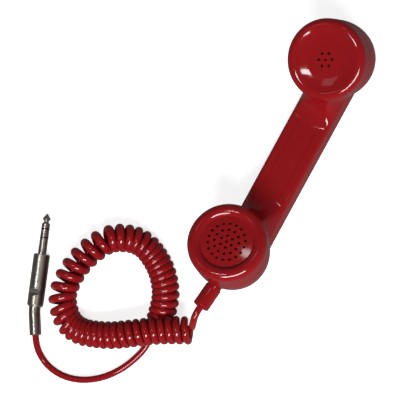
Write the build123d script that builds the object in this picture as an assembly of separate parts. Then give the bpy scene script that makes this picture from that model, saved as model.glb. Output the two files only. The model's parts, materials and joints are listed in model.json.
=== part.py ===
from build123d import *
import os
from math import copysign, cos, pi, radians, sin, sqrt, tan

# Telephone handset with a curly cord and a three-pole jack plug. Sizes are in millimetres.
# It lies on its back on the plane z = 0. X runs along the handle towards the earpiece,
# Y across it, Z up. The origin is under the middle of the handle.
# Each cup has a frame of its own: its height 0 is the plane of the cap's holes, z points out
# of the cap and x away from the handle, so depths below the face are negative heights.

# Overall layout
cup_spacing = 141.0          # between the centres of the two hole planes
face_height = 57.0           # of the centre of each hole plane over the table
cup_tilt = 15.0              # degrees by which each cap leans towards the handle's middle

# Handle
handle_width = 30.5
handle_thickness = 19.5
handle_overrun = 14.5        # by which the handle's round ends pass the cups' face centres
back_edge_radius = 5.0
face_edge_radius = 2.5
handle_wall = 3.2
neck_blend = 20.0            # radius of the hollow blend from the handle into each cup
channel_radius = 3.0

# Outline groove on the handle's inner face
panel_length = 63.5
panel_width = 16.5
panel_corner = 4.2
groove_width = 0.9
groove_depth = 0.45

# Cups
cup_radius = 27.6
cup_wall = 3.2
cup_straight = 7.7           # straight wall between the shoulder and the bowl
neck_wall = 2.7              # of the neck that each cap screws over
neck_clearance = 1.0         # between the neck's rim and the cap's inner face
ledge_depth = 10.2           # of the seat in each cup below the hole plane
ledge_width = 2.4            # by which the seat reaches inwards from the neck's bore
ledge_thickness = 2.0

# Caps
cap_overhang = 0.4           # of the cap past the cup's wall
skirt_depth = 9.0
skirt_draft = 0.1            # by which the skirt narrows towards its lower edge
skirt_wall = 3.0             # of the skirt round the neck's thread
thread_clearance = 0.3
seam_gap = 0.3               # between the skirt's edge and the cup's shoulder
cap_wall = 2.6
seat_inset = 0.2             # of the flat inner seat behind the face, from the neck's bore
relief_height = 2.2          # of the relief groove round that seat
relief_slope = 0.6
relief_corner_width = 1.6
relief_corner_height = 1.2
hole_diameter = 2.1
cap_radius = cup_radius + cap_overhang
neck_radius = cap_radius - skirt_wall - thread_clearance
neck_bore = neck_radius - neck_wall
ledge_radius = neck_bore - ledge_width
seat_radius = neck_bore - seat_inset

# Ear cap face
ear_disc_radius = 10.6
ear_dish_margin = 5.7        # from the cap's edge to the dish's edge
ear_dish_height = 2.1
ear_dish_sag = 0.45
ear_rim_margin = 1.5
ear_rim_height = 1.2
ear_edge_depth = 2.5
ear_hole_ring = 4.8
ear_hole_count = 6
ear_hole_angle = -4.7

# Mouth cap face
mouth_disc_margin = 9.4
mouth_disc_fall = 0.5
mouth_rim_margin = 4.7
mouth_rim_height = 2.1
mouth_edge_depth = 3.0
mouth_hole_pitch = 4.36
mouth_hole_rings = 3
mouth_hole_angle = 1.65
mouth_ring_turns = (0, 20, -10, 0)       # degrees by which each ring of holes is turned

# Receiver
unit_clearance = 0.5         # round the receiver and the microphone holder in the neck
gasket_thickness = 1.2
gasket_width = 4.5
front_plate_thickness = 0.9
front_plate_rim = 0.9
film_thickness = 0.2
clamp_width = 4.0
dome_rise = 0.7
frame_floor = 1.6
vent_room = 6.5              # between the clamp and the yoke
yoke_wall = 1.2
yoke_floor = 1.5
yoke_lip = 1.2
yoke_lip_thickness = 0.6
magnet_inset = 0.3
magnet_thickness = 3.6
pole_thickness = 1.4
coil_gap = 0.3               # between the pole plate and the coil
coil_thickness = 0.7
coil_outer_gap = 0.5         # between the coil and the yoke
coil_length = 3.0
vent_radius = 1.8
vent_count = 6
plate_hole_ring = 6.5
plate_hole_count = 8
board_length = 12.0
board_width = 6.0
board_thickness = 1.0
board_inset = 1.6            # of the board from the ledge's edge

# Microphone
felt_thickness = 0.6
holder_wall = 1.6
holder_floor = 1.6
capsule_radius = 4.85
capsule_height = 4.5
capsule_chamfer = 0.4
sleeve_thickness = 1.0
sleeve_clearance = 0.1
socket_wall = 1.4
socket_height = 3.6
microphone_board_thickness = 0.7
wire_hole_radius = 2.6
holder_slot_radius = 2.4
holder_slot_count = 4
holder_slot_ring = 13.6

# Cord and its boot
cord_diameter = 5.0
boot_radius = 6.0
boot_length = 16.6
boot_neck_radius = 4.1
boot_flange_radius = 6.4
boot_flange_thickness = 2.0
flange_clearance = 0.4
boot_chamfer = 0.5
boot_rise = 5.0              # degrees by which the boot points up from the cup's own level
boot_drop = 33.7             # of the boss's outer face below the mouth cap's hole plane
boot_inset = 0.7             # of that face from the cup's widest radius
boss_radius = 6.9            # of the seat inside the cup for the boot's flange
boss_length = 7.0
boss_collar_radius = 5.3     # of the boss outside the cup's wall
boss_collar_length = 3.5
cord_bore_clearance = 0.1
entry_reach = 5.0            # of the cord's jacket past the boot's flange
crimp_wall = 0.6
crimp_length = 3.0

# Inner wires
wire_diameter = 1.2
wire_clearance = 0.05
wire_pitch = 1.5
wire_pad = 1.2               # of each microphone wire from the capsule's axis
wire_run = 6.0               # straight run of each receiver wire out of the cord
microphone_wire_run = 3.5
wire_stand = 7.5             # straight run of each wire below its solder pad
wire_fall = 5.7              # from the foot of the mouth cup's axis to where they come down
wire_fall_height = 8.2       # of that point over the wires' rest in the channel
wire_landing = 5.9           # from the cup's radius there to where they lie down
wire_rise = 2.1              # from where they lift off to the ear cup's radius
wire_climb = 6.9
wire_climb_height = 13.2
wire_spread = 2.4            # of each receiver wire to its side in the channel

# Plug, with distances from its tip
plug_radius = 3.175
plug_axis_height = 6.25
plug_tip_at = (-124.5, 152.9)
plug_heading = 202.6         # degrees, from the tip to the rear
tip_length = 11.2
plug_neck_radius = 1.75      # of the groove that the socket's spring drops into
shoulder_from = 8.0
insulator_width = 1.0
ring_length = 5.6
shaft_length = 31.0
rod_radius = 1.0
tube_wall = 0.5
rod_reach = 8.0              # of the centre rod behind the shaft
tube_step = 2.0              # by which each inner tube ends before the one inside it
collar_depth = 0.9           # of the collar behind the barrel's front rim
collar_radius = 5.2
collar_length = 1.8
threaded_radius = 5.0
threaded_length = 7.0
barrel_radius = 6.25
barrel_length = 40.4
barrel_bore = 5.4
barrel_edge = 0.8
barrel_rear_edge = 1.4
barrel_rear_wall = 3.4
dent_from = 29.3             # middle of the pressed dent behind the barrel's front edge
dent_length = 5.4
dent_depth = 1.6
lining_thickness = 0.3
lining_length = 12.0
lining_gap = 1.0             # between the lining and the dent
guard_radius = 4.45
guard_flange = 1.6
guard_straight = 3.7
guard_bend = 11.5            # degrees
guard_bend_radius = 30.0
guard_tail = 15.6
guard_chamfer = 0.5
lug_thickness = 0.5
lug_width = 2.2
lug_length = 5.5
lug_wall = 1.2
lug_offset = 0.9
clasp_length = 4.0
clasp_wall = 1.0             # two layers of the folded tag
clasp_gap = 3.5              # between the tag's clasp and the guard
jacket_reach = 8.0           # of the cord's jacket past the guard into the barrel
tag_inset = 0.4              # of the ground tag's washer from the threaded edge
plug_wire_offset = 0.9
plug_wire_run = 2.0
plug_tag_wire_run = 4.5
sliding_fit = 0.1

# Cord on the table. The points stand at the corners of straight runs, which arcs join.
coil_diameter = 20.0
lead_run = 6.5               # straight run of each lead at its fixed ends
lead_on_coil = (0.5, -3.0)   # sideways and up from the coil's middle line
lead_off_coil = (-6.5, -3.7)
handset_lead_corners = [(-132.4, -0.4, 36.4), (-136.8, 0.4, 30.0), (-139.2, 0.4, 23.2)]
coil_points = [
    (-143.4, 6.2, 19.0), (-152.6, 23.3, 17.0), (-166.2, 41.7, 16.5), (-179.6, 61.0, 11.5),
    (-190.1, 87.9, 10.0), (-176.0, 106.6, 10.0), (-159.3, 110.7, 10.0), (-140.1, 108.5, 10.0),
    (-124.7, 101.9, 10.0), (-113.0, 93.7, 10.0), (-104.6, 72.8, 10.0), (-111.8, 53.6, 10.0),
    (-120.9, 42.2, 10.0), (-133.4, 33.4, 10.0), (-144.0, 31.5, 10.0)]
plug_lead_corners = [
    (-161.5, 34.2, 2.6), (-171.3, 32.2, 2.5), (-184.0, 35.4, 2.5), (-197.1, 41.4, 2.5),
    (-209.6, 51.0, 2.5), (-219.4, 63.8, 2.5), (-225.0, 78.7, 2.5), (-225.0, 93.4, 2.5),
    (-220.6, 103.8, 3.6)]

os.makedirs("parts", exist_ok=True)


# Shared shapes
def turned(*outline):
    """A solid turned about Z from (radius, height) corners joined by straight sides."""
    corners = [(radius, 0, height) for radius, height in outline]
    return revolve(make_face(Polyline(*corners, close=True)), Axis.Z)


def ring(inner, outer, low, high):
    """A plain turned ring, or a disc where the inner radius is 0."""
    return turned((inner, low), (outer, low), (outer, high), (inner, high))


def crown(radius, middle, edge):
    """A shallow arc from the axis to the edge, whose centre lies on the axis."""
    rise = middle - edge
    ball = (radius**2 + rise**2) / (2 * rise)
    half = radius / 2
    height = middle - ball + copysign(sqrt(ball**2 - half**2), ball)
    return ThreePointArc((0, 0, middle), (half, 0, height), (radius, 0, edge))


def hole_circle(radius, count, first_angle, hole_radius, low, high):
    """Straight round holes on a circle, as one solid to cut with."""
    drill = ring(0, hole_radius, low, high)
    return [loc * drill for loc in PolarLocations(radius, count, first_angle)]


def corner_radii(points, share=0.45):
    """The radius of each corner's arc, as large as the shorter run beside it allows."""
    radii = []
    for before, corner, after in zip(points, points[1:], points[2:]):
        first = Vector(corner) - Vector(before)
        second = Vector(after) - Vector(corner)
        half_turn = radians(first.get_angle(second)) / 2
        radii.append(share * min(first.length, second.length) / tan(half_turn))
    return radii


def tube(points, diameter, bore=0.0):
    """A round tube or solid rod along straight runs joined by arcs."""
    path = FilletPolyline(*points, radius=corner_radii(points))
    section = Plane(origin=path @ 0, z_dir=path % 0) * Circle(diameter / 2)
    if bore > 0:
        section -= Plane(origin=path @ 0, z_dir=path % 0) * Circle(bore / 2)
    return sweep(section, path), path


def save(shape, name):
    export_step(shape, f"parts/{name}.step")


# Frames of the two cups
def cup_frame(side):
    lean = radians(cup_tilt)
    return Plane(
        origin=(side * cup_spacing / 2, 0, face_height),
        x_dir=(side * cos(lean), 0, sin(lean)),
        z_dir=(-side * sin(lean), 0, cos(lean)),
    )


ear = cup_frame(1)
mouth = cup_frame(-1)
shoulder = -(skirt_depth + seam_gap)
bowl_top = shoulder - cup_straight


# Handset body
def bowl_depth(radius, floor):
    """Half height of the elliptical bowl whose lowest point lies at the floor's height."""
    lean = radians(cup_tilt)
    centre_height = face_height + bowl_top * cos(lean)
    drop = centre_height - floor
    return sqrt(drop**2 - (radius * sin(lean)) ** 2) / cos(lean)


def bowl(radius, depth, top):
    """A cup with a straight wall above an elliptical bowl."""
    wall = Line((radius, 0, bowl_top), (radius, 0, top))
    lid = Line((radius, 0, top), (0, 0, top))
    axis = Line((0, 0, top), (0, 0, bowl_top - depth))
    lowest = bowl_top - depth
    curve = Bezier(
        (0, 0, lowest), (radius, 0, lowest), (radius, 0, bowl_top), weights=(1, sqrt(0.5), 1))
    return revolve(make_face([curve, wall, lid, axis]), Axis.Z)


def rounded_bar(length, width, low, high, bottom_radius, top_radius):
    """A bar along X with round ends in plan and rounded long edges."""
    bar = Pos(0, 0, low) * extrude(SlotOverall(length, width), high - low)
    bar = fillet(bar.edges().group_by(Axis.Z)[0], bottom_radius)
    return fillet(bar.edges().group_by(Axis.Z)[-1], top_radius)


slope = radians(cup_tilt + boot_rise)
boot_axis = Plane(
    origin=mouth.from_local_coords((cup_radius - boot_inset, 0, -boot_drop)),
    x_dir=(sin(slope), 0, cos(slope)),
    z_dir=(-cos(slope), 0, sin(slope)),
)
channel_floor = handle_wall


def make_body():
    overall = cup_spacing + 2 * handle_overrun
    handle = rounded_bar(
        overall, handle_width, 0, handle_thickness, back_edge_radius, face_edge_radius)
    cup = bowl(cup_radius, bowl_depth(cup_radius, 0), shoulder)
    ear_cup = ear.location * cup
    mouth_cup = mouth.location * cup
    body = handle + ear_cup + mouth_cup
    seams = new_edges(handle, ear_cup, mouth_cup, combined=body)
    body = body.fillet(neck_blend, seams)

    # Neck for each cap's thread
    neck_top = -(cap_wall + neck_clearance)
    neck = ring(0, neck_radius, shoulder, neck_top)
    body += [ear.location * neck, mouth.location * neck]

    # Hollow: the neck's bore, the ledge's hole and the bowl of each cup, and the handle's channel
    bore = ring(0, neck_bore, -ledge_depth, 0)
    ledge_bottom = -(ledge_depth + ledge_thickness)
    throat = ring(0, ledge_radius, ledge_bottom, -ledge_depth)
    inner_radius = cup_radius - cup_wall
    hollow = bowl(inner_radius, bowl_depth(inner_radius, cup_wall), ledge_bottom)
    for frame in (ear, mouth):
        body -= [frame.location * bore, frame.location * throat, frame.location * hollow]
    channel = rounded_bar(
        cup_spacing, handle_width - 2 * handle_wall, channel_floor,
        handle_thickness - handle_wall, channel_radius, channel_radius)
    body -= channel

    # Boss that carries the cord's boot, with flat seats for its inner flange and its outer shoulder
    flange_room = boot_flange_radius + flange_clearance
    inner_end = -boss_length - 2 * boot_flange_thickness
    body += boot_axis.location * ring(0, boss_radius, -boss_length, -boss_collar_length)
    body += boot_axis.location * ring(0, boss_collar_radius, -boss_collar_length, 0)
    body -= boot_axis.location * ring(0, boot_neck_radius + sliding_fit, inner_end, 0)
    body -= boot_axis.location * ring(0, boot_radius + sliding_fit, 0, boot_length)
    body -= boot_axis.location * ring(0, flange_room, inner_end, -boss_length)

    # Outline groove on the inner face
    outline = RectangleRounded(panel_length, panel_width, panel_corner)
    inside = RectangleRounded(
        panel_length - 2 * groove_width, panel_width - 2 * groove_width, panel_corner - groove_width)
    groove = Pos(0, 0, handle_thickness - groove_depth) * extrude(outline - inside, groove_depth)
    return body - groove


# Caps
def cap_inside():
    """The cap's inner outline, from the skirt's lower edge round to the axis, as corners."""
    thread_radius = neck_radius + thread_clearance
    relief = relief_height - cap_wall
    return [
        (cap_radius - skirt_draft, -skirt_depth), (thread_radius, -skirt_depth),
        (thread_radius, relief - relief_corner_height), (thread_radius - relief_corner_width, relief),
        (seat_radius + relief_slope, relief), (seat_radius, -cap_wall), (0, -cap_wall)]


def make_cap(face_curves, edge_depth):
    """A cap turned from its outer face curves, its skirt and its inner outline."""
    corners = [(cap_radius, 0, -edge_depth)]
    corners += [(radius, 0, height) for radius, height in cap_inside()]
    corners += [(0, 0, 0)]
    lines = [Line(start, end) for start, end in zip(corners, corners[1:])]
    return revolve(make_face(face_curves + lines), Axis.Z)


def make_ear_cap():
    dish_radius = cap_radius - ear_dish_margin
    disc = Line((0, 0, 0), (ear_disc_radius, 0, 0))
    middle = (ear_disc_radius + dish_radius) / 2
    dish = ThreePointArc(
        (ear_disc_radius, 0, 0), (middle, 0, ear_dish_height / 2 - ear_dish_sag),
        (dish_radius, 0, ear_dish_height))
    rim = ThreePointArc(
        (dish_radius, 0, ear_dish_height), (cap_radius - ear_rim_margin, 0, ear_rim_height),
        (cap_radius, 0, -ear_edge_depth))
    cap = make_cap([disc, dish, rim], ear_edge_depth)
    holes = hole_circle(ear_hole_ring, ear_hole_count, ear_hole_angle, hole_diameter / 2, -cap_wall, 1)
    holes.append(ring(0, hole_diameter / 2, -cap_wall, 1))
    return cap - holes


def make_mouth_cap():
    disc_radius = cap_radius - mouth_disc_margin
    disc = crown(disc_radius, 0, -mouth_disc_fall)
    rim = ThreePointArc(
        (disc_radius, 0, -mouth_disc_fall), (cap_radius - mouth_rim_margin, 0, mouth_rim_height),
        (cap_radius, 0, -mouth_edge_depth))
    cap = make_cap([disc, rim], mouth_edge_depth)
    holes = [ring(0, hole_diameter / 2, -cap_wall, 1)]
    for number in range(1, mouth_hole_rings + 1):
        start = mouth_hole_angle + mouth_ring_turns[number]
        holes += hole_circle(
            number * mouth_hole_pitch, 6 * number, start, hole_diameter / 2, -cap_wall, 1)
    return cap - holes


# Receiver, in the ear cup's frame, from the cap down to the ledge
board_x = ledge_radius - board_inset - board_width / 2      # from its axis towards the handle


def make_receiver():
    radius = neck_bore - unit_clearance
    gasket_bottom = -(cap_wall + gasket_thickness)
    plate_bottom = gasket_bottom - front_plate_thickness
    rim_bottom = plate_bottom - front_plate_rim
    film_bottom = rim_bottom - film_thickness
    floor_top = -ledge_depth + frame_floor
    clamp_radius = radius - clamp_width
    yoke_radius = clamp_radius - vent_room
    coil_radius = yoke_radius - yoke_wall - coil_outer_gap
    dome_radius = coil_radius - coil_thickness
    pole_radius = dome_radius - coil_gap

    gasket = ring(radius - gasket_width, radius, gasket_bottom, -cap_wall)
    plate = ring(0, radius, plate_bottom, gasket_bottom) + ring(
        clamp_radius, radius, rim_bottom, plate_bottom)
    plate -= hole_circle(plate_hole_ring, plate_hole_count, 0, hole_diameter / 2,
                         plate_bottom, gasket_bottom)
    plate -= ring(0, hole_diameter / 2, plate_bottom, gasket_bottom)

    # Film: a flat clamped rim and a dome, as one even skin
    dome_top = film_bottom + dome_rise
    upper = crown(dome_radius, dome_top + film_thickness, rim_bottom)
    lower = crown(dome_radius, dome_top, film_bottom)
    film_outline = [
        upper, Line((dome_radius, 0, rim_bottom), (radius, 0, rim_bottom)),
        Line((radius, 0, rim_bottom), (radius, 0, film_bottom)),
        Line((radius, 0, film_bottom), (dome_radius, 0, film_bottom)),
        lower, Line((0, 0, dome_top), (0, 0, dome_top + film_thickness))]
    film = revolve(make_face(film_outline), Axis.Z)

    basket = ring(clamp_radius, radius, -ledge_depth, film_bottom)
    basket += ring(yoke_radius + sliding_fit, clamp_radius, -ledge_depth, floor_top)
    vent_ring = (yoke_radius + yoke_lip + clamp_radius) / 2
    basket -= hole_circle(vent_ring, vent_count, 180 / vent_count, vent_radius, -ledge_depth, floor_top)

    lip_top = floor_top + yoke_lip_thickness
    yoke_bottom = lip_top - pole_thickness - magnet_thickness - yoke_floor
    yoke = ring(yoke_radius - yoke_wall, yoke_radius, yoke_bottom, lip_top)
    yoke += ring(0, yoke_radius, yoke_bottom, yoke_bottom + yoke_floor)
    yoke += ring(yoke_radius, yoke_radius + yoke_lip, floor_top, lip_top)
    magnet = ring(0, pole_radius - magnet_inset, yoke_bottom + yoke_floor, lip_top - pole_thickness)
    pole = ring(0, pole_radius, lip_top - pole_thickness, lip_top)
    coil = ring(dome_radius, coil_radius, film_bottom - coil_length, film_bottom)
    board = Pos(-board_x, 0, -ledge_depth - board_thickness / 2) * Box(
        board_width, board_length, board_thickness)
    pieces = {
        "receiver_gasket": gasket, "receiver_front_plate": plate, "receiver_diaphragm": film,
        "receiver_frame": basket, "receiver_yoke": yoke, "receiver_magnet": magnet,
        "receiver_pole_plate": pole, "receiver_coil": coil, "receiver_terminal_board": board}
    for name, piece in pieces.items():
        save(ear.location * piece, name)


# Microphone, in the mouth cup's frame
holder_floor_top = -ledge_depth + holder_floor


def make_microphone():
    radius = neck_bore - unit_clearance
    felt_bottom = -(cap_wall + felt_thickness)
    board_top = holder_floor_top + microphone_board_thickness
    capsule_top = board_top + capsule_height
    sleeve_radius = capsule_radius + sleeve_thickness
    socket_radius = sleeve_radius + sleeve_clearance + socket_wall
    socket_top = holder_floor_top + socket_height

    felt = ring(0, radius - holder_wall - sleeve_clearance, felt_bottom, -cap_wall)
    holder = ring(0, radius, -ledge_depth, holder_floor_top)
    holder += ring(radius - holder_wall, radius, holder_floor_top, -cap_wall)
    holder += ring(sleeve_radius + sleeve_clearance, socket_radius, holder_floor_top, socket_top)
    holder -= ring(0, wire_hole_radius, -ledge_depth, holder_floor_top)
    holder -= hole_circle(
        holder_slot_ring, holder_slot_count, 45, holder_slot_radius, -ledge_depth, holder_floor_top)
    board = ring(0, capsule_radius, holder_floor_top, board_top)
    capsule = ring(0, capsule_radius, board_top, capsule_top)
    capsule = chamfer(capsule.edges().group_by(Axis.Z)[-1], capsule_chamfer)
    sleeve = ring(capsule_radius, sleeve_radius, holder_floor_top, capsule_top)
    pieces = {
        "microphone_felt": felt, "microphone_holder": holder, "microphone_board": board,
        "microphone_capsule": capsule, "microphone_mount": sleeve}
    for name, piece in pieces.items():
        save(mouth.location * piece, name)


# Boot and the cord's end inside the mouth cup. The boot's frame has z along the cord, outwards.
flange_bottom = -(boss_length + boot_flange_thickness)
entry_end = flange_bottom - entry_reach


def make_cord_entry():
    bore = cord_diameter / 2 + cord_bore_clearance
    boot = turned(
        (bore, flange_bottom), (boot_flange_radius, flange_bottom), (boot_flange_radius, -boss_length),
        (boot_neck_radius, -boss_length), (boot_neck_radius, 0), (boot_radius, 0),
        (boot_radius, boot_length - boot_chamfer), (boot_radius - boot_chamfer, boot_length),
        (bore, boot_length))
    jacket = ring(0, cord_diameter / 2, entry_end, boot_length)
    crimp = ring(cord_diameter / 2, cord_diameter / 2 + crimp_wall,
                 flange_bottom - crimp_length, flange_bottom)
    for name, piece in {"cord_boot": boot, "cord_entry": jacket, "cord_crimp_ring": crimp}.items():
        save(boot_axis.location * piece, name)


# Inner wires, from the end of the cord's jacket to the boards
def at(frame, x, y, z):
    return tuple(frame.from_local_coords((x, y, z)))


def make_wires():
    half = wire_pitch / 2
    rest = channel_floor + wire_diameter / 2 + wire_clearance
    board_back = -(ledge_depth + board_thickness)
    foot = cup_spacing / 2 + (face_height - rest) * tan(radians(cup_tilt))
    cup_edge = foot - cup_radius
    quarter = cup_spacing / 4
    for name, side in (("wire_receiver_signal", 1), ("wire_receiver_common", -1)):
        bundle = side * wire_pitch
        points = [
            at(boot_axis, -half, side * half, entry_end),
            at(boot_axis, -half, side * half, entry_end - wire_run),
            (wire_fall - foot, side * half, rest + wire_fall_height),
            (-cup_edge - wire_landing, bundle, rest),
            (-quarter, side * wire_spread, rest + wire_clearance),
            (0, bundle, rest),
            (quarter, side * wire_spread, rest + wire_clearance),
            (cup_edge - wire_rise, bundle, rest + wire_diameter / 2),
            (cup_edge + wire_climb, bundle, rest + wire_climb_height),
            at(ear, -board_x, bundle, board_back - wire_stand),
            at(ear, -board_x, bundle, board_back)]
        solid, _ = tube(points, wire_diameter)
        save(solid, name)
    for name, side in (("wire_microphone_signal", 1), ("wire_microphone_common", -1)):
        points = [
            at(boot_axis, half, side * half, entry_end),
            at(boot_axis, half, side * half, entry_end - microphone_wire_run),
            at(mouth, 0, -side * wire_pad, -ledge_depth - wire_stand),
            at(mouth, 0, -side * wire_pad, holder_floor_top)]
        solid, _ = tube(points, wire_diameter)
        save(solid, name)


# Plug, turned about its own axis: z runs from the tip to the rear
heading = radians(plug_heading)
plug_frame = Plane(
    origin=(*plug_tip_at, plug_axis_height),
    x_dir=(0, 0, 1),
    z_dir=(cos(heading), sin(heading), 0),
)
ring_from = tip_length + insulator_width
ring_to = ring_from + ring_length
sleeve_from = ring_to + insulator_width
collar_from = shaft_length + collar_depth
collar_end = collar_from + collar_length
sleeve_end = collar_end + threaded_length
rod_end = sleeve_end + rod_reach
barrel_end = shaft_length + barrel_length
guard_from = barrel_end - barrel_rear_wall - guard_flange
tube_1 = rod_radius + tube_wall
tube_2 = tube_1 + tube_wall
tube_3 = tube_2 + tube_wall
tag_radius = threaded_radius - tag_inset
strip_radius = tag_radius - lug_thickness / 2


def make_plug_contacts():
    neck = plug_neck_radius
    tip = turned(
        (0, 0), (0.55, 0.15), (plug_radius - 0.2, 3.5), (plug_radius, 3.8), (plug_radius - 0.2, 4.1),
        (neck, 5.7), (neck, 6.4), (plug_radius - 0.4, shoulder_from - 0.5),
        (plug_radius, shoulder_from), (plug_radius, tip_length), (rod_radius, tip_length),
        (rod_radius, rod_end), (0, rod_end))

    def stepped(inner, outer, head_from, head_to, end):
        """A ring of the shaft with a thinner tube behind it."""
        return turned(
            (inner, head_from), (plug_radius, head_from), (plug_radius, head_to), (outer, head_to),
            (outer, end), (inner, end))

    tip_insulator = stepped(rod_radius, tube_1, tip_length, ring_from, rod_end - tube_step)
    ring_contact = stepped(tube_1, tube_2, ring_from, ring_to, rod_end - 2 * tube_step)
    ring_insulator = stepped(tube_2, tube_3, ring_to, sleeve_from, rod_end - 3 * tube_step)
    sleeve = turned(
        (tube_3, sleeve_from), (plug_radius, sleeve_from), (plug_radius, collar_from),
        (collar_radius, collar_from), (collar_radius, collar_end), (threaded_radius, collar_end),
        (threaded_radius, sleeve_end), (tube_3, sleeve_end))

    # Solder lugs: a washer on each contact's end with a flat tail to one side
    def lug(inner, position, side):
        washer = ring(inner, inner + lug_wall, position, position + lug_thickness)
        tail = Pos(side * (inner + lug_offset), 0, position + lug_length / 2) * Box(
            lug_thickness, lug_width, lug_length)
        return washer + tail

    tip_lug = lug(rod_radius, rod_end - lug_thickness, 1)
    ring_lug = lug(tube_2, rod_end - 2 * tube_step - lug_thickness, -1)
    tag_from = sleeve_end
    tag = ring(tube_3, tag_radius, tag_from, tag_from + lug_thickness)
    strip_end = guard_from - clasp_gap
    strip = Pos(0, -strip_radius, (tag_from + strip_end) / 2) * Box(
        lug_width, lug_thickness, strip_end - tag_from)
    jacket = cord_diameter / 2
    clasp = ring(jacket, jacket + clasp_wall, strip_end - clasp_length, strip_end)
    web_height = strip_radius - jacket
    web = Pos(0, -strip_radius + web_height / 2, strip_end - clasp_length / 2) * Box(
        lug_width, web_height, clasp_length)
    web -= ring(0, jacket, strip_end - clasp_length, strip_end)
    tag = tag + strip + clasp + web
    pieces = {
        "plug_tip": tip, "plug_tip_insulator": tip_insulator, "plug_ring": ring_contact,
        "plug_ring_insulator": ring_insulator, "plug_sleeve": sleeve, "plug_tip_terminal": tip_lug,
        "plug_ring_terminal": ring_lug, "plug_ground_tag": tag}
    for name, piece in pieces.items():
        save(plug_frame.location * piece, name)


def make_plug_barrel():
    rear_bore = guard_radius + sliding_fit
    front = shaft_length + sliding_fit
    inside_rear = barrel_end - barrel_rear_wall
    barrel = turned(
        (collar_radius + sliding_fit, front), (barrel_radius - barrel_edge, front),
        (barrel_radius, front + barrel_edge), (barrel_radius, barrel_end - barrel_rear_edge),
        (barrel_radius - barrel_rear_edge / 2, barrel_end), (rear_bore, barrel_end),
        (rear_bore, inside_rear), (barrel_bore, inside_rear), (barrel_bore, sleeve_end),
        (threaded_radius, sleeve_end), (threaded_radius, collar_end),
        (collar_radius + sliding_fit, collar_end))

    # Dent pressed across the barrel's top. Its wall bulges inwards by the dent's depth.
    roller = ((dent_length / 2) ** 2 + dent_depth**2) / (2 * dent_depth)
    wall = barrel_radius - barrel_bore
    across = Pos(barrel_radius - dent_depth + roller, 0, front + dent_from) * Rot(90, 0, 0)
    inside = ring(0, barrel_bore, front + dent_from - barrel_bore, front + dent_from + barrel_bore)
    barrel += (across * Cylinder(roller + wall, 2 * barrel_radius)) & inside
    barrel -= across * Cylinder(roller, 2 * barrel_radius)
    lining_end = front + dent_from - roller - lining_gap
    lining = ring(barrel_bore - lining_thickness, barrel_bore, lining_end - lining_length, lining_end)
    save(plug_frame.location * barrel, "plug_barrel")
    save(plug_frame.location * lining, "plug_lining")


def make_plug_wires():
    """Three short wires from the cord's jacket to the two lugs and the tag's strip."""
    start = guard_from - jacket_reach
    off = plug_wire_offset
    run = plug_wire_run
    tip_end = (rod_radius + lug_offset, 0, rod_end - lug_thickness + lug_length)
    ring_end = (-(tube_2 + lug_offset), 0, rod_end - 2 * tube_step - lug_thickness + lug_length)
    strip_inside = strip_radius - lug_thickness / 2
    across = start - plug_tag_wire_run
    wires = []
    for points in (
            [(off, off, start), (off, off, start - run), (tip_end[0], 0, tip_end[2] + run), tip_end],
            [(-off, off, start), (-off, off, start - run),
             (ring_end[0], 0, ring_end[2] + run), ring_end],
            [(0, -off, start), (0, -off, across), (0, -strip_inside, across)]):
        solid, _ = tube(points, wire_diameter)
        wires.append(plug_frame.location * solid)
    save(Compound(children=wires), "plug_wires")


def guard_path(start):
    """The guard's middle line in the plug's frame: straight, one bend in the table's plane, straight."""
    bend = radians(guard_bend)
    bend_from = guard_from + guard_flange + guard_straight
    corner = bend_from + guard_bend_radius * tan(bend / 2)
    reach = guard_tail + guard_bend_radius * tan(bend / 2)
    end = (0, -reach * sin(bend), corner + reach * cos(bend))
    return FilletPolyline((0, 0, start), (0, 0, corner), end, radius=guard_bend_radius)


def make_guard():
    bore = cord_diameter / 2 + cord_bore_clearance
    path = guard_path(guard_from)
    guard = sweep(Pos(0, 0, guard_from) * (Circle(guard_radius) - Circle(bore)), path=path)
    rear_face = guard.faces().sort_by_distance(path @ 1)[0]
    guard = chamfer(rear_face.edges().sort_by(SortBy.LENGTH)[-1], guard_chamfer)
    guard += ring(bore, barrel_bore - sliding_fit, guard_from, guard_from + guard_flange)
    save(plug_frame.location * guard, "plug_guard")
    start = guard_from - jacket_reach
    jacket = sweep(Pos(0, 0, start) * Circle(cord_diameter / 2), path=guard_path(start))
    save(plug_frame.location * jacket, "plug_cord_end")


# The free cord
def end_frame(point, towards):
    """A frame on a tube's end: z along the tube, y up as far as z allows."""
    along = (Vector(towards) - Vector(point)).normalized()
    return Plane(origin=point, x_dir=Vector(0, 0, 1).cross(along), z_dir=along)


def make_cord():
    boot_points = [at(boot_axis, 0, 0, boot_length), at(boot_axis, 0, 0, boot_length + lead_run)]
    coil_start = end_frame(coil_points[0], coil_points[1])
    side, up = lead_on_coil
    lead_points = boot_points + handset_lead_corners + [
        at(coil_start, side, up, -lead_run), at(coil_start, side, up, 0)]
    past = Vector(coil_points[-1]) * 2 - Vector(coil_points[-2])
    coil_end = end_frame(coil_points[-1], past)
    side, up = lead_off_coil
    guard_end = guard_path(guard_from)
    exit_point, exit_way = guard_end @ 1, guard_end % 1
    tail_points = [at(coil_end, side, up, 0), at(coil_end, side, up, lead_run)]
    tail_points += plug_lead_corners + [
        at(plug_frame, *(exit_point + exit_way * lead_run)), at(plug_frame, *exit_point)]
    for name, points, diameter in (
            ("cord_handset_lead", lead_points, cord_diameter),
            ("cord_curly", coil_points, coil_diameter),
            ("cord_plug_lead", tail_points, cord_diameter)):
        solid, path = tube(points, diameter)
        save(solid, name)
        share = solid.volume / (pi * diameter**2 / 4 * path.length)
        print(name, "length", round(path.length, 1), "volume share", round(share, 4))
        print("   corners", [tuple(round(value, 2) for value in point) for point in points])
        print("   radii", [round(radius, 1) for radius in corner_radii(points)])


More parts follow.
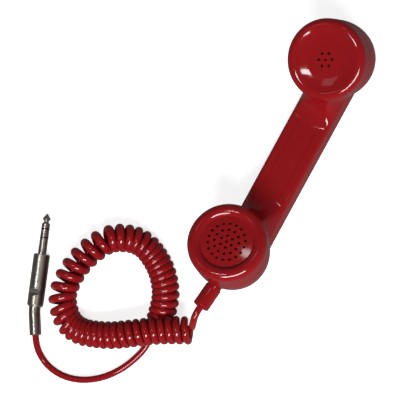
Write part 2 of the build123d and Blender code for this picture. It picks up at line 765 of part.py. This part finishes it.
save(make_body(), "handset_body")
save(ear.location * make_ear_cap(), "ear_cap")
save(mouth.location * make_mouth_cap(), "mouth_cap")
make_receiver()
make_microphone()
make_cord_entry()
make_wires()
make_plug_contacts()
make_plug_barrel()
make_plug_wires()
make_guard()
make_cord()
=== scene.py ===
import json
from math import cos, pi, radians, sin

import bmesh
import bpy
from mathutils import Matrix, Vector

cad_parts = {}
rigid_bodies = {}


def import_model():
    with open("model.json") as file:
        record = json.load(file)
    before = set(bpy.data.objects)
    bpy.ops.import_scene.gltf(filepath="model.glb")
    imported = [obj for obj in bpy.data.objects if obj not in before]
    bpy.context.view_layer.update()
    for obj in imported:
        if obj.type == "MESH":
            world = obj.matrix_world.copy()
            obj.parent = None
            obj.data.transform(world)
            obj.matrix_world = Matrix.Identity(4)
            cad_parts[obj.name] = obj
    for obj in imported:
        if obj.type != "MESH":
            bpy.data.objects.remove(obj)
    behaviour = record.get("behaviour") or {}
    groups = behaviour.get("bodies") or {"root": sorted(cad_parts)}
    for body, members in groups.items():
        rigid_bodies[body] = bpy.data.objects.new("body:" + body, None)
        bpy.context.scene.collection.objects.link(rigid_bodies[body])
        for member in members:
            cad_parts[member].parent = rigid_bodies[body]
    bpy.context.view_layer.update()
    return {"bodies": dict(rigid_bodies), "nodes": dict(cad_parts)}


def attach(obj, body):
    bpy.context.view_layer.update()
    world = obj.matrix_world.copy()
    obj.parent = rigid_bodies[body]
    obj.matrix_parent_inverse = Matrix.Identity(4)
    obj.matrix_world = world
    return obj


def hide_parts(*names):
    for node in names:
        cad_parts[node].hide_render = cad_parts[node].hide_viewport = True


# A red telephone handset lying on its back, with its curly cord and its jack plug.
# The frame is that of the CAD: X along the handle towards the earpiece, Z up from the table.
# Sizes are in millimetres where nothing else is said, and MM turns them into metres.
MM = 0.001
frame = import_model()
nodes = frame["nodes"]
root = list(frame["bodies"])[0]


# Camera
camera_place = (-13.52, -244.59, 845.90)
camera_look = (-0.04922, 0.32962, -0.94283)
camera_up = (0.87807, 0.46416, 0.11644)
sensor_width = 36
focal_length = 108.54
sight_range = 50             # metres

camera = bpy.data.objects.new("camera", bpy.data.cameras.new("camera"))
bpy.context.collection.objects.link(camera)
camera.data.sensor_width = sensor_width
camera.data.lens = focal_length
camera.data.clip_end = sight_range
look = Vector(camera_look).normalized()
right = look.cross(Vector(camera_up)).normalized()
upward = right.cross(look)
turn = Matrix((right, upward, -look)).transposed().to_4x4()
camera.matrix_world = Matrix.Translation(Vector(camera_place) * MM) @ turn
bpy.context.scene.camera = camera


# Cord: one spline from the boot, through the curly stretch, to the plug's guard
cord_diameter = 5.0
cord_steps = 3               # steps of the cord's mesh between two control points
cord_sides = 5               # fineness of the cord's round section
coil_winding = 7.6           # radius from the coil's middle line to the cord's middle line
coil_run_on = 16.0           # straight piece that carries the last loose turns past that line's end
coil_steps = 24              # steps between two control points of that line
turn_points = 14             # control points in one turn of the curly stretch
last_turn = 44.5             # turns in all
lie_back = (0.052, -0.350)   # by which a turn's top lies off its foot, for each unit of height

boot_lead_route = [
    (-120.8, 0.0, 37.09), (-126.91, 0.0, 39.31), (-132.4, -0.4, 36.4), (-136.6, 0.6, 30.0),
    (-139.0, 2.2, 23.5), (-140.6, 4.6, 17.5), (-141.8, 6.4, 12.5), (-143.4, 6.8, 9.2),
    (-146.2, 6.0, 7.8), (-149.2, 4.4, 9.0), (-150.4, 2.6, 12.8)]
coil_route = [
    (-143.4, 6.2, 19.0), (-152.6, 23.3, 17.0), (-166.2, 41.7, 16.5), (-179.6, 61.0, 11.5),
    (-190.1, 87.9, 10.0), (-176.0, 106.6, 10.0), (-159.3, 110.7, 10.0), (-140.1, 108.5, 10.0),
    (-124.7, 101.9, 10.0), (-113.0, 93.7, 10.0), (-104.6, 72.8, 10.0), (-111.8, 53.6, 10.0),
    (-120.9, 42.2, 10.0), (-133.4, 33.4, 10.0), (-144.0, 31.5, 10.0)]
plug_lead_route = [
    (-153.9, 37.2, 7.0), (-154.8, 36.8, 4.4), (-157.2, 35.8, 2.9), (-161.5, 34.2, 2.6),
    (-171.3, 32.2, 2.5), (-184.0, 35.4, 2.5), (-197.1, 41.4, 2.5), (-209.6, 51.0, 2.5),
    (-219.4, 63.8, 2.5), (-225.0, 78.7, 2.5), (-225.0, 93.4, 2.5), (-220.6, 103.8, 3.6),
    (-214.28, 110.1, 6.25), (-208.9, 113.75, 6.25)]

# Turns wound, with their distance along the coil's middle line, counted where the cord lies on
# its near side: tight along the row and down the right side, pulled open at the far left
wound = [
    (0.0, -0.4), (0.25, 0.9), (1.25, 7.5), (4.25, 26.3), (11.25, 69.8), (14.25, 85.8),
    (17.25, 99.8), (19.25, 112.1), (21.25, 127.4), (23.25, 144.8), (27.25, 180.9),
    (29.25, 194.9), (32.25, 212.6), (36.25, 231.0), (39.25, 245.8), (42.25, 262.0),
    (43.25, 267.0), (last_turn, 272.9)]

# Distance along that line, with the cord's thickness there against its straight ends: the soft
# sheath looks swollen where it is wound
swollen = [
    (-6.0, 1.0), (0.0, 1.0), (4.0, 1.12), (66.0, 1.12), (78.0, 1.1), (92.0, 1.18),
    (108.0, 1.32), (188.0, 1.32), (208.0, 1.14), (262.0, 1.14), (272.0, 1.0)]


def nurbs_line(name, points):
    """A curve object of one smooth open spline on the given control points, in millimetres. A
    fourth number is the thickness there, against the curve's own."""
    data = bpy.data.curves.new(name, "CURVE")
    data.dimensions = "3D"
    spline = data.splines.new("NURBS")
    spline.points.add(len(points) - 1)
    for place, point in zip(spline.points, points):
        place.co = (*(Vector(point[:3]) * MM), 1)
        place.radius = point[3] if len(point) > 3 else 1
    spline.order_u = 3
    spline.use_endpoint_u = True
    line = bpy.data.objects.new(name, data)
    bpy.context.collection.objects.link(line)
    return line


def line_points(line, resolution):
    """Points along a curve's own spline, in millimetres, read from a copy without thickness."""
    data = line.data.copy()
    data.bevel_depth = 0
    data.resolution_u = resolution
    bare = bpy.data.objects.new("bare_line", data)
    mesh = bpy.data.meshes.new_from_object(bare)
    points = [vertex.co / MM for vertex in mesh.vertices]
    bpy.data.meshes.remove(mesh)
    bpy.data.objects.remove(bare)
    bpy.data.curves.remove(data)
    return points


def between(pairs, value):
    """The second number of a table of pairs at a value of the first, on straight lines."""
    for (low, start), (high, end) in zip(pairs, pairs[1:]):
        if value <= high:
            return start + (end - start) * (value - low) / (high - low)
    return pairs[-1][1]


def curly_points():
    """Control points of the curly stretch, wound round the coil's middle line."""
    middle = nurbs_line("coil_middle", coil_route)
    points = line_points(middle, coil_steps)
    bpy.data.objects.remove(middle)
    way_out = (points[-1] - points[-2]).normalized()
    points.append(points[-1] + way_out * coil_run_on)
    distances = [0.0]
    for before, after in zip(points, points[1:]):
        distances.append(distances[-1] + (after - before).length)
    # The spline's weights of a control point and its two neighbours are 3/4 and 1/8 each, so the
    # control points stand a little outside the curve that they shape
    reach = coil_winding / (0.75 + 0.25 * cos(2 * pi / turn_points))
    steps = round(last_turn * turn_points)
    wound_points = []
    along = (points[1] - points[0]).normalized()
    for step in range(steps + 1):
        turns = last_turn * step / steps
        angle = 2 * pi * turns
        leaning = lie_back[0] * along.x + lie_back[1] * along.y
        distance = between(wound, turns) + leaning * (
            coil_winding * sin(angle) + cord_diameter / 2)
        index = max(i for i, passed in enumerate(distances[:-1]) if passed <= max(distance, 0))
        along = points[index + 1] - points[index]
        share = (distance - distances[index]) / (distances[index + 1] - distances[index])
        centre = points[index] + along * share
        along.normalize()
        side = Vector((0, 0, 1)).cross(along).normalized()
        up = along.cross(side)
        thickness = between(swollen, distance)
        point = centre + (side * cos(angle) + up * sin(angle)) * reach
        # A thicker cord lies that much higher on the table
        point.z += cord_diameter / 2 * (thickness - 1)
        wound_points.append((*point, thickness))
    return wound_points


cord = nurbs_line("cord", boot_lead_route + curly_points() + plug_lead_route)
cord.data.resolution_u = cord_steps
cord.data.bevel_depth = cord_diameter / 2 * MM
cord.data.bevel_resolution = cord_sides
cord.data.use_fill_caps = True
middle_line = line_points(cord, cord_steps)


# Colours and nodes
def linear(code):
    """A linear colour with alpha from an sRGB hex code."""
    parts = [int(code[i:i + 2], 16) / 255 for i in (1, 3, 5)]
    return (*[c / 12.92 if c <= 0.04045 else ((c + 0.055) / 1.055) ** 2.4 for c in parts], 1)


def add(tree, kind, settings=None, **links):
    """Adds a node. Settings name its properties or sockets, and links name the sockets that
    they feed."""
    node = tree.nodes.new(kind)
    for key, value in (settings or {}).items():
        if key in node.inputs:
            node.inputs[key].default_value = value
        else:
            setattr(node, key, value)
    for key, source in links.items():
        tree.links.new(source, node.inputs[key.replace("_", " ")])
    return node


def new_material(name, settings):
    """A material with one Principled shader, and its tree and shader."""
    material = bpy.data.materials.new(name)
    material.use_nodes = True
    tree = material.node_tree
    shader = tree.nodes["Principled BSDF"]
    for key, value in settings.items():
        shader.inputs[key].default_value = value
    return material, tree, shader


def noise(tree, size, detail):
    """Smooth random patches of a size in millimetres, fixed to the object."""
    place = add(tree, "ShaderNodeTexCoord").outputs["Object"]
    return add(tree, "ShaderNodeTexNoise", {"Scale": 1 / (size * MM), "Detail": detail},
               Vector=place).outputs["Fac"]


def blended(tree, shader, share, colour, other):
    """Gives a shader a base colour that goes from one hex code to another with a share."""
    blend = add(tree, "ShaderNodeMix", {"data_type": "RGBA"}, Factor=share)
    blend.inputs[6].default_value = linear(colour)
    blend.inputs[7].default_value = linear(other)
    tree.links.new(blend.outputs[2], shader.inputs["Base Color"])


def worn(tree, shader, share, low, high):
    """Gives a shader a roughness that goes from low to high with a share."""
    polish = add(tree, "ShaderNodeMapRange", {"To Min": low, "To Max": high}, Value=share)
    tree.links.new(polish.outputs["Result"], shader.inputs["Roughness"])


# Mouldings: patches of dye a shade apart, and patches of polish
plastic_refraction = 1.53
dye_patch = 30.0
polish_patch = 12.0
polish_spread = 0.2          # share by which the roughness varies each way


def moulded_abs(name, colour, deep, roughness):
    """Injection-moulded, dyed ABS with a polished tool finish: a clear gloss over an even dye,
    whose polish varies a little from place to place, as hands leave it."""
    material, tree, shader = new_material(
        name, {"Roughness": roughness, "IOR": plastic_refraction})
    blended(tree, shader, noise(tree, dye_patch, 2.0), colour, deep)
    worn(tree, shader, noise(tree, polish_patch, 2.0),
         roughness * (1 - polish_spread), roughness * (1 + polish_spread))
    return material


def metal(name, colour, roughness, spread, grain_size):
    """Bare or plated metal, whose polish varies in small patches as handling leaves it."""
    material, tree, shader = new_material(
        name, {"Base Color": linear(colour), "Metallic": 1.0, "Roughness": roughness})
    worn(tree, shader, noise(tree, grain_size, 3.0), roughness - spread, roughness + spread)
    return material


def dull(name, colour, pale, grain_size, roughness, rise):
    """A dull finish of two close shades in fine grains that stand out a little: felt, rubber,
    pressed board or ferrite."""
    material, tree, shader = new_material(name, {"Roughness": roughness})
    grain = noise(tree, grain_size, 4.0)
    blended(tree, shader, grain, colour, pale)
    bump = add(tree, "ShaderNodeBump", {"Distance": rise * MM}, Height=grain)
    tree.links.new(bump.outputs["Normal"], shader.inputs["Normal"])
    return material


shell_abs = moulded_abs("moulded_red_abs", "#93151A", "#8C1318", 0.07)
cord_pvc = moulded_abs("extruded_red_pvc", "#93151A", "#8B1218", 0.06)
nickel = metal("nickel_plate", "#C0BAB1", 0.30, 0.02, 1.5)
steel = metal("zinc_plated_steel", "#A9A9A4", 0.35, 0.08, 0.8)
brass = metal("turned_brass", "#C8A15A", 0.3, 0.06, 0.5)
aluminium = metal("drawn_aluminium", "#C6C7C9", 0.38, 0.06, 0.7)
black_nylon = moulded_abs("moulded_black_nylon", "#0B0B0C", "#101011", 0.3)
unit_abs = moulded_abs("moulded_black_abs", "#151516", "#1B1B1C", 0.45)
sheath_yellow = moulded_abs("yellow_wire_pvc", "#D8A518", "#CF9C14", 0.35)
sheath_black = moulded_abs("black_wire_pvc", "#141414", "#191919", 0.35)
sheath_green = moulded_abs("green_wire_pvc", "#1E7A35", "#1A702F", 0.35)
clear_pvc = moulded_abs("milky_pvc_sleeve", "#D5D3C8", "#CFCDC1", 0.25)
film = moulded_abs("amber_polyester_film", "#B87A2A", "#B27426", 0.12)
ferrite = dull("sintered_ferrite", "#3A3A3D", "#48484B", 0.4, 0.7, 0.02)
board = dull("brown_paper_board", "#7A5230", "#8A6038", 0.5, 0.6, 0.01)
rubber = dull("black_rubber", "#141414", "#1C1C1C", 0.3, 0.65, 0.01)
felt = dull("black_wool_felt", "#0D0D0E", "#232325", 0.15, 0.95, 0.08)

finishes = {
    shell_abs: ("handset_body", "ear_cap", "mouth_cap", "cord_boot"),
    cord_pvc: ("cord_entry", "plug_cord_end"),
    nickel: ("plug_tip", "plug_ring", "plug_sleeve", "plug_barrel", "plug_guard"),
    black_nylon: ("plug_tip_insulator", "plug_ring_insulator"),
    unit_abs: ("receiver_front_plate", "receiver_frame", "microphone_holder"),
    steel: ("receiver_pole_plate", "receiver_yoke"),
    brass: ("receiver_coil", "cord_crimp_ring", "plug_tip_terminal", "plug_ring_terminal",
            "plug_ground_tag"),
    ferrite: ("receiver_magnet",),
    film: ("receiver_diaphragm",),
    board: ("receiver_terminal_board", "microphone_board"),
    rubber: ("receiver_gasket", "microphone_mount"),
    felt: ("microphone_felt",),
    aluminium: ("microphone_capsule",),
    clear_pvc: ("plug_lining",),
    sheath_yellow: ("wire_receiver_signal", "plug_wires"),
    sheath_black: ("wire_receiver_common", "wire_microphone_common"),
    sheath_green: ("wire_microphone_signal",),
}
for finish, names in finishes.items():
    for name in names:
        for slot in nodes[name].material_slots:
            slot.material = finish
cord.data.materials.append(cord_pvc)


# Studio: white paper below, a pale surround low down, a dark ceiling and four lamps
paper_size = 6.0             # metres from its middle to its sides
paper_drop = 0.2             # below the part, so that the two don't coincide
paper_colour = "#F2F2F2"
paper_lift = 0.75            # light that only the camera sees, which brings it to white
paper_mirrored = "#747474"   # its colour in gloss and in nickel
horizon_level = 0.12
ceiling_level = 0.05
horizon_height = 0.15        # sine of the elevation up to which the surround stays pale
ceiling_height = 0.55        # and of that from which it is dark
lamp_distance = 1.6          # metres from the lamps' target
lamp_target = (-50, 30, 30)

# Azimuth and elevation in degrees, width and height in metres, and how bright the face is
lamps = {
    "lamp_key": (-131, 50, 1.20, 0.40, 18.2),
    "lamp_dish_window": (128, 83, 0.12, 0.40, 18),
    "lamp_small_window": (20.5, 64, 0.09, 0.06, 8),
    "lamp_pale_panel": (104, 64, 0.34, 0.26, 0.7),
}


def lay_paper():
    """White paper that keeps the shadows. The camera sees it lifted to white, and gloss and
    nickel mirror it as a grey that darkens in the shadows, as in the photograph."""
    plate = bpy.data.meshes.new("floor")
    shape = bmesh.new()
    bmesh.ops.create_grid(shape, x_segments=1, y_segments=1, size=paper_size)
    shape.to_mesh(plate)
    shape.free()
    floor = bpy.data.objects.new("floor", plate)
    bpy.context.collection.objects.link(floor)
    floor.location.z = -paper_drop * MM
    paper, tree, shader = new_material(
        "white_paper", {"Base Color": linear(paper_colour), "Roughness": 0.9})
    rays = add(tree, "ShaderNodeLightPath")
    lift = add(tree, "ShaderNodeMath", {"operation": "MULTIPLY"})
    tree.links.new(rays.outputs["Is Camera Ray"], lift.inputs[0])
    lift.inputs[1].default_value = paper_lift
    shader.inputs["Emission Color"].default_value = (1, 1, 1, 1)
    tree.links.new(lift.outputs[0], shader.inputs["Emission Strength"])
    mirrored = add(tree, "ShaderNodeBsdfDiffuse", {"Color": linear(paper_mirrored)})
    either = add(tree, "ShaderNodeMixShader")
    tree.links.new(rays.outputs["Is Glossy Ray"], either.inputs[0])
    tree.links.new(shader.outputs[0], either.inputs[1])
    tree.links.new(mirrored.outputs[0], either.inputs[2])
    tree.links.new(either.outputs[0], tree.nodes["Material Output"].inputs["Surface"])
    plate.materials.append(paper)


def hang_surround():
    """A room that is pale near the horizon and dark overhead."""
    world = bpy.data.worlds.new("studio")
    bpy.context.scene.world = world
    world.use_nodes = True
    tree = world.node_tree
    background = tree.nodes["Background"]
    way = add(tree, "ShaderNodeTexCoord").outputs["Generated"]
    height = add(tree, "ShaderNodeSeparateXYZ", Vector=way).outputs["Z"]
    fade = add(tree, "ShaderNodeMapRange", {
        "interpolation_type": "SMOOTHSTEP", "From Min": horizon_height,
        "From Max": ceiling_height, "To Min": horizon_level, "To Max": ceiling_level},
        Value=height)
    tree.links.new(fade.outputs["Result"], background.inputs["Strength"])
    background.inputs["Color"].default_value = (1, 1, 1, 1)


def hang_lamp(name, azimuth, elevation, width, height, radiance):
    """An area lamp that faces its target from a direction. Its power follows from how bright
    its face looks."""
    data = bpy.data.lights.new(name, "AREA")
    data.shape = "RECTANGLE"
    data.size, data.size_y = width, height
    data.energy = radiance * pi * width * height
    lamp = bpy.data.objects.new(name, data)
    bpy.context.collection.objects.link(lamp)
    turn_round, lift = radians(azimuth), radians(elevation)
    way = Vector((cos(lift) * cos(turn_round), cos(lift) * sin(turn_round), sin(lift)))
    lamp.location = Vector(lamp_target) * MM + way * lamp_distance
    lamp.rotation_euler = (-way).to_track_quat("-Z", "Y").to_euler()


lay_paper()
hang_surround()
for name, settings in lamps.items():
    hang_lamp(name, *settings)
bpy.context.scene.view_settings.view_transform = "Standard"


# What rides where
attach(cord, root)
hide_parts("cord_handset_lead", "cord_curly", "cord_plug_lead")
